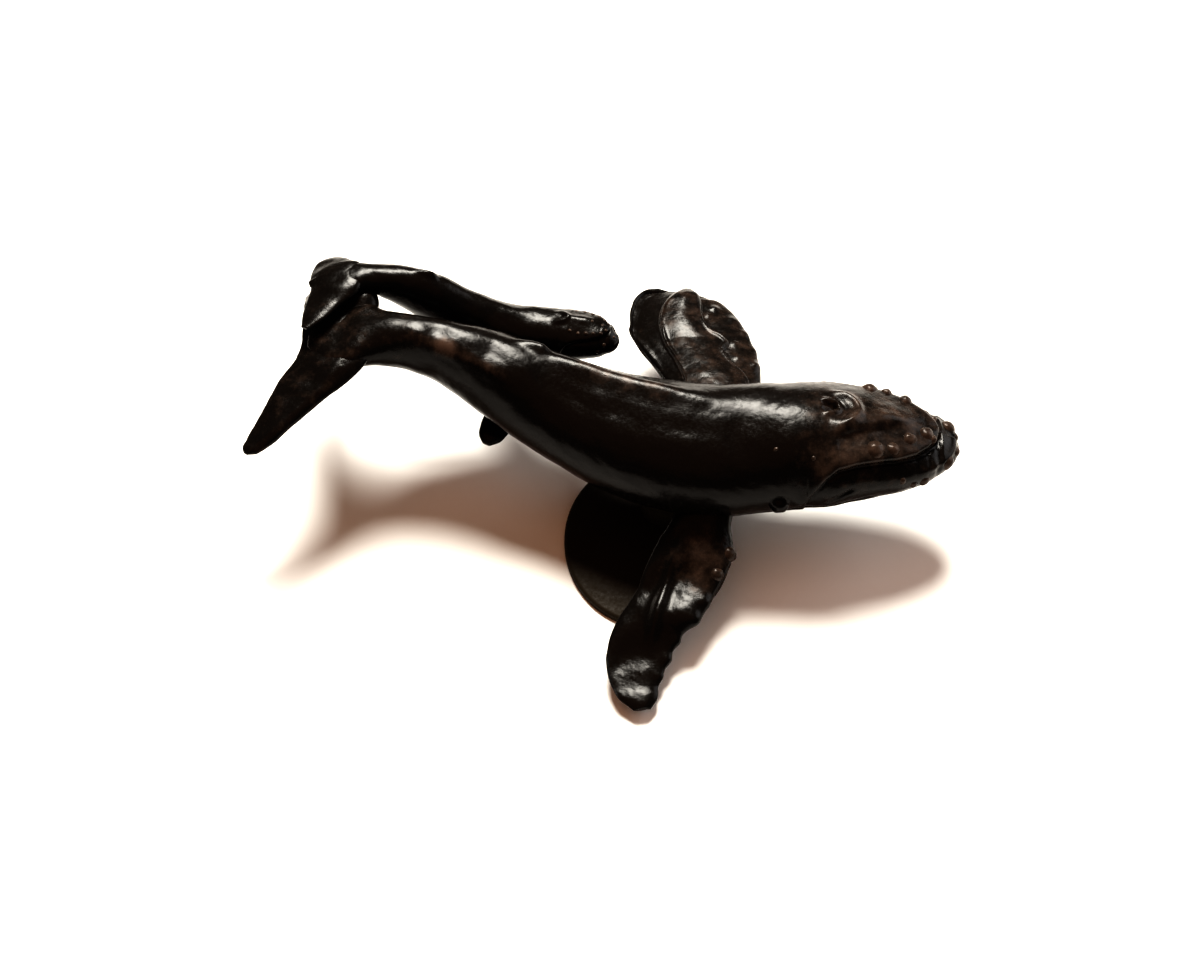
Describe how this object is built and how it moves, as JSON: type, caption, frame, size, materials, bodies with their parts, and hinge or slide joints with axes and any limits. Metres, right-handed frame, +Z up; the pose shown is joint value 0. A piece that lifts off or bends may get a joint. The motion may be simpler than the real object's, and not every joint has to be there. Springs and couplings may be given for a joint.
{
  "type": "whale figurine",
  "caption": "Cast bronze ornament of a humpback whale cow with her calf along her flank, brown patina, standing on an oval foot plate.",
  "frame": {"origin": "centre of the foot plate's underside, on the surface that the ornament stands on", "axes": "+X along the cow towards her snout, +Y to the cow's left, where the calf swims, +Z up"},
  "size_m": [0.0956, 0.0688, 0.0262],
  "materials": {
    "patinated_bronze": "cast bronze with a waxed dark brown patina, rubbed lighter on the raised parts",
    "pin_steel": "plain drawn steel, hidden inside the castings"
  },
  "bodies": {
    "root": {"cow_body": "patinated_bronze", "cow_right_flipper": "patinated_bronze", "cow_left_flipper": "patinated_bronze", "calf_body": "patinated_bronze", "calf_right_flipper": "patinated_bronze", "calf_left_flipper": "patinated_bronze", "foot_plate": "patinated_bronze", "foot_post": "patinated_bronze", "foot_screw": "pin_steel", "cow_flipper_pins": "pin_steel", "calf_flipper_pins": "pin_steel", "calf_flank_pin": "pin_steel", "calf_fluke_pin": "pin_steel"}
  },
  "joints": []
}
